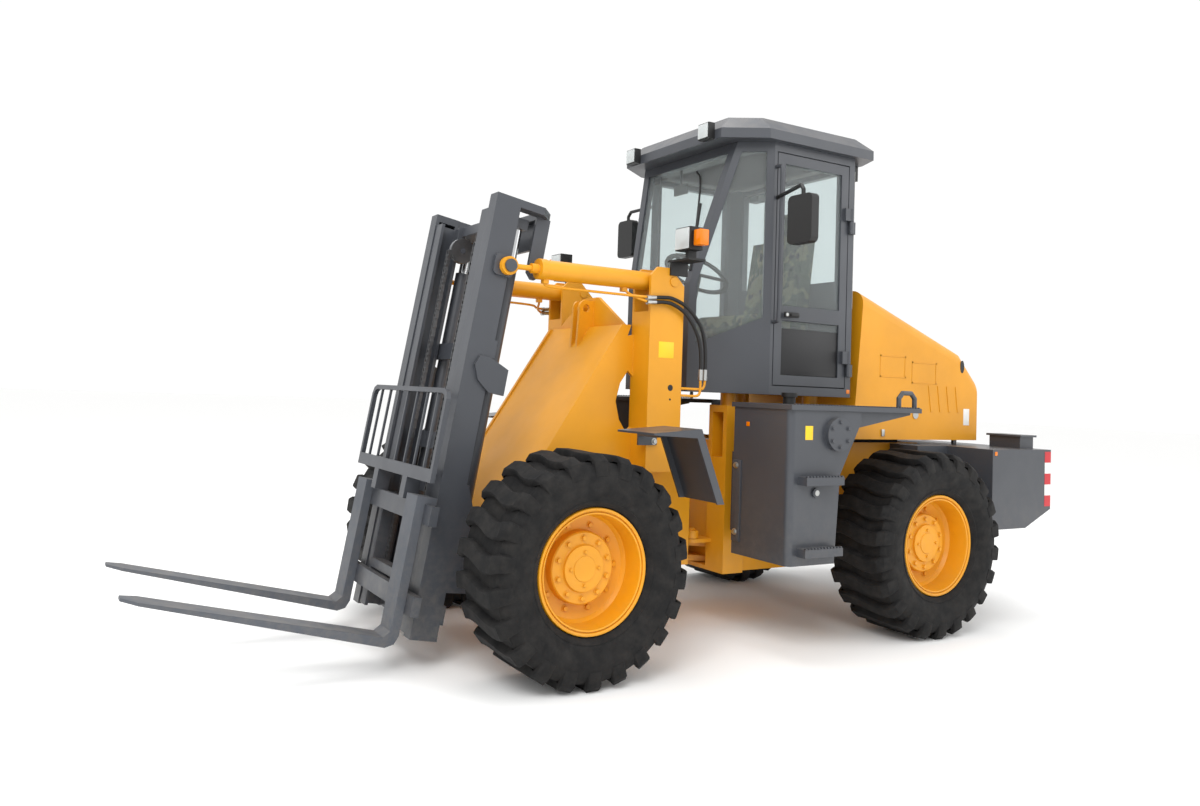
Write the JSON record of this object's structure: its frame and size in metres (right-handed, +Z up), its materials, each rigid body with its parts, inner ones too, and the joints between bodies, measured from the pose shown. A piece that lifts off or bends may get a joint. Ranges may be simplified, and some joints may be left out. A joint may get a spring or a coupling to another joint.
{
  "type": "articulated rough-terrain forklift",
  "caption": "Articulated rough-terrain forklift on a wheel loader chassis: leaning lift mast with forks in front, glazed cab, engine hood and counterweight behind.",
  "frame": {"origin": "on the ground under the middle of the machine's box", "axes": "+X forward along the forks, +Y to the driver's left, +Z up"},
  "size_m": [5.4894, 2.1, 2.948],
  "materials": {
    "yellow_paint": "satin amber yellow paint",
    "slate_paint": "satin dark slate paint",
    "fork_steel": "worn grey paint",
    "chrome_rod": "polished",
    "steel": "oiled",
    "cast_block": "cast",
    "tyre": "dusty rubber",
    "cab_glass": "clear",
    "seat_cloth": "mottled cloth cover",
    "black_plastic": "matt"
  },
  "bodies": {
    "rear": {"rear_frame": "yellow_paint", "rear_axle": "yellow_paint", "engine_block": "cast_block", "counterweight": "slate_paint", "tank_left": "slate_paint", "tank_right": "slate_paint", "decks": "slate_paint", "cab_shell": "slate_paint", "cab_roof": "slate_paint", "windscreen": "cab_glass", "cab_windows": "cab_glass", "seat": "seat_cloth", "steering_column": "black_plastic", "mirrors": "black_plastic", "roof_lamps": "black_plastic"},
    "front": {"front_frame": "yellow_paint", "front_axle": "yellow_paint", "front_fenders": "slate_paint", "head_lamps": "black_plastic"},
    "mast_outer": {"outer_mast": "slate_paint", "lift_barrels": "slate_paint"},
    "mast_inner": {"inner_mast": "slate_paint", "lift_rods": "chrome_rod", "chain_sheaves": "steel", "lift_chains": "steel"},
    "carriage": {"carriage": "slate_paint", "load_guard": "slate_paint", "fork_left": "fork_steel", "fork_right": "fork_steel"},
    "door_left": {"door_left": "slate_paint", "door_glass": "cab_glass"},
    "hood": {"hood": "yellow_paint"},
    "tilt_barrel_left": {"tilt_barrel_left": "yellow_paint"},
    "tilt_rod_left": {"tilt_rod_left": "chrome_rod"},
    "steer_barrel_left": {"steer_barrel_left": "yellow_paint"},
    "steer_rod_left": {"steer_rod_left": "chrome_rod"},
    "tilt_barrel_right": {"tilt_barrel_right": "yellow_paint"},
    "tilt_rod_right": {"tilt_rod_right": "chrome_rod"},
    "steer_barrel_right": {"steer_barrel_right": "yellow_paint"},
    "steer_rod_right": {"steer_rod_right": "chrome_rod"},
    "wheel_front_left": {"tyre_front_left": "tyre", "rim_front_left": "yellow_paint"},
    "wheel_front_right": {"tyre_front_right": "tyre", "rim_front_right": "yellow_paint"},
    "wheel_rear_left": {"tyre_rear_left": "tyre", "rim_rear_left": "yellow_paint"},
    "wheel_rear_right": {"tyre_rear_right": "tyre", "rim_rear_right": "yellow_paint"}
  },
  "joints": [
    {"name": "steer", "type": "hinge", "parent": "rear", "child": "front", "pos_m": [-0.35468, 0, 0.532], "axis": [0, 0, 1], "range_deg": [-25, 25]},
    {"name": "mast_tilt", "type": "hinge", "parent": "front", "child": "mast_outer", "pos_m": [1.16032, 0, 0.43], "axis": [0, 1, 0], "range_deg": [0, 15]},
    {"name": "mast_lift", "type": "slide", "parent": "mast_outer", "child": "mast_inner", "axis": [-0.1702, 0, 0.9854], "range_m": [0, 1.45]},
    {"name": "carriage_lift", "type": "slide", "parent": "mast_inner", "child": "carriage", "axis": [-0.1702, 0, 0.9854], "range_m": [0, 1.45], "deforming": ["lift_chains"]},
    {"name": "door_swing", "type": "hinge", "parent": "rear", "child": "door_left", "pos_m": [-1.19968, 0.574, 2], "axis": [0, 0, 1], "range_deg": [0, 150]},
    {"name": "hood_tilt", "type": "hinge", "parent": "rear", "child": "hood", "pos_m": [-2.57868, 0, 1.142], "axis": [0, -1, 0], "range_deg": [0, 50]},
    {"name": "tilt_barrel_left_swing", "type": "hinge", "parent": "front", "child": "tilt_barrel_left", "pos_m": [0.08832, 0.446, 1.945], "axis": [0, 1, 0], "range_deg": [-5, 5]},
    {"name": "tilt_rod_left_slide", "type": "slide", "parent": "tilt_barrel_left", "child": "tilt_rod_left", "axis": [1, 0, 0.0029], "range_m": [0, 0.46]},
    {"name": "tilt_barrel_right_swing", "type": "hinge", "parent": "front", "child": "tilt_barrel_right", "pos_m": [0.08832, -0.446, 1.945], "axis": [0, 1, 0], "range_deg": [-5, 5]},
    {"name": "tilt_rod_right_slide", "type": "slide", "parent": "tilt_barrel_right", "child": "tilt_rod_right", "axis": [1, 0, 0.0029], "range_m": [0, 0.46]},
    {"name": "steer_barrel_left_swing", "type": "hinge", "parent": "rear", "child": "steer_barrel_left", "pos_m": [-0.30968, 0.25, 0.54], "axis": [0, 0, 1], "range_deg": [-40, 40]},
    {"name": "steer_rod_left_slide", "type": "slide", "parent": "steer_barrel_left", "child": "steer_rod_left", "axis": [0.9961, -0.0879, 0], "range_m": [-0.14, 0.14]},
    {"name": "steer_barrel_right_swing", "type": "hinge", "parent": "rear", "child": "steer_barrel_right", "pos_m": [-0.30968, -0.25, 0.54], "axis": [0, 0, 1], "range_deg": [-40, 40]},
    {"name": "steer_rod_right_slide", "type": "slide", "parent": "steer_barrel_right", "child": "steer_rod_right", "axis": [0.9961, 0.0879, 0], "range_m": [-0.14, 0.14]},
    {"name": "wheel_front_left_spin", "type": "hinge", "parent": "front", "child": "wheel_front_left", "pos_m": [0.83032, 0.793, 0.532], "axis": [0, 1, 0], "continuous": true},
    {"name": "wheel_front_right_spin", "type": "hinge", "parent": "front", "child": "wheel_front_right", "pos_m": [0.83032, -0.793, 0.532], "axis": [0, 1, 0], "continuous": true},
    {"name": "wheel_rear_left_spin", "type": "hinge", "parent": "rear", "child": "wheel_rear_left", "pos_m": [-1.53968, 0.793, 0.532], "axis": [0, 1, 0], "continuous": true},
    {"name": "wheel_rear_right_spin", "type": "hinge", "parent": "rear", "child": "wheel_rear_right", "pos_m": [-1.53968, -0.793, 0.532], "axis": [0, 1, 0], "continuous": true}
  ],
  "couplings": [
    {"joint": "carriage_lift", "follows": "mast_lift", "ratio": 1},
    {"joint": "tilt_barrel_left_swing", "follows": "mast_tilt", "ratio": 0.04798},
    {"joint": "tilt_rod_left_slide", "follows": "mast_tilt", "m_per_rad": 1.5212},
    {"joint": "tilt_barrel_right_swing", "follows": "mast_tilt", "ratio": 0.04798},
    {"joint": "tilt_rod_right_slide", "follows": "mast_tilt", "m_per_rad": 1.5212},
    {"joint": "steer_barrel_left_swing", "follows": "steer", "ratio": 1.0457},
    {"joint": "steer_rod_left_slide", "follows": "steer", "m_per_rad": -0.24408},
    {"joint": "steer_barrel_right_swing", "follows": "steer", "ratio": 1.0457},
    {"joint": "steer_rod_right_slide", "follows": "steer", "m_per_rad": 0.24408}
  ]
}
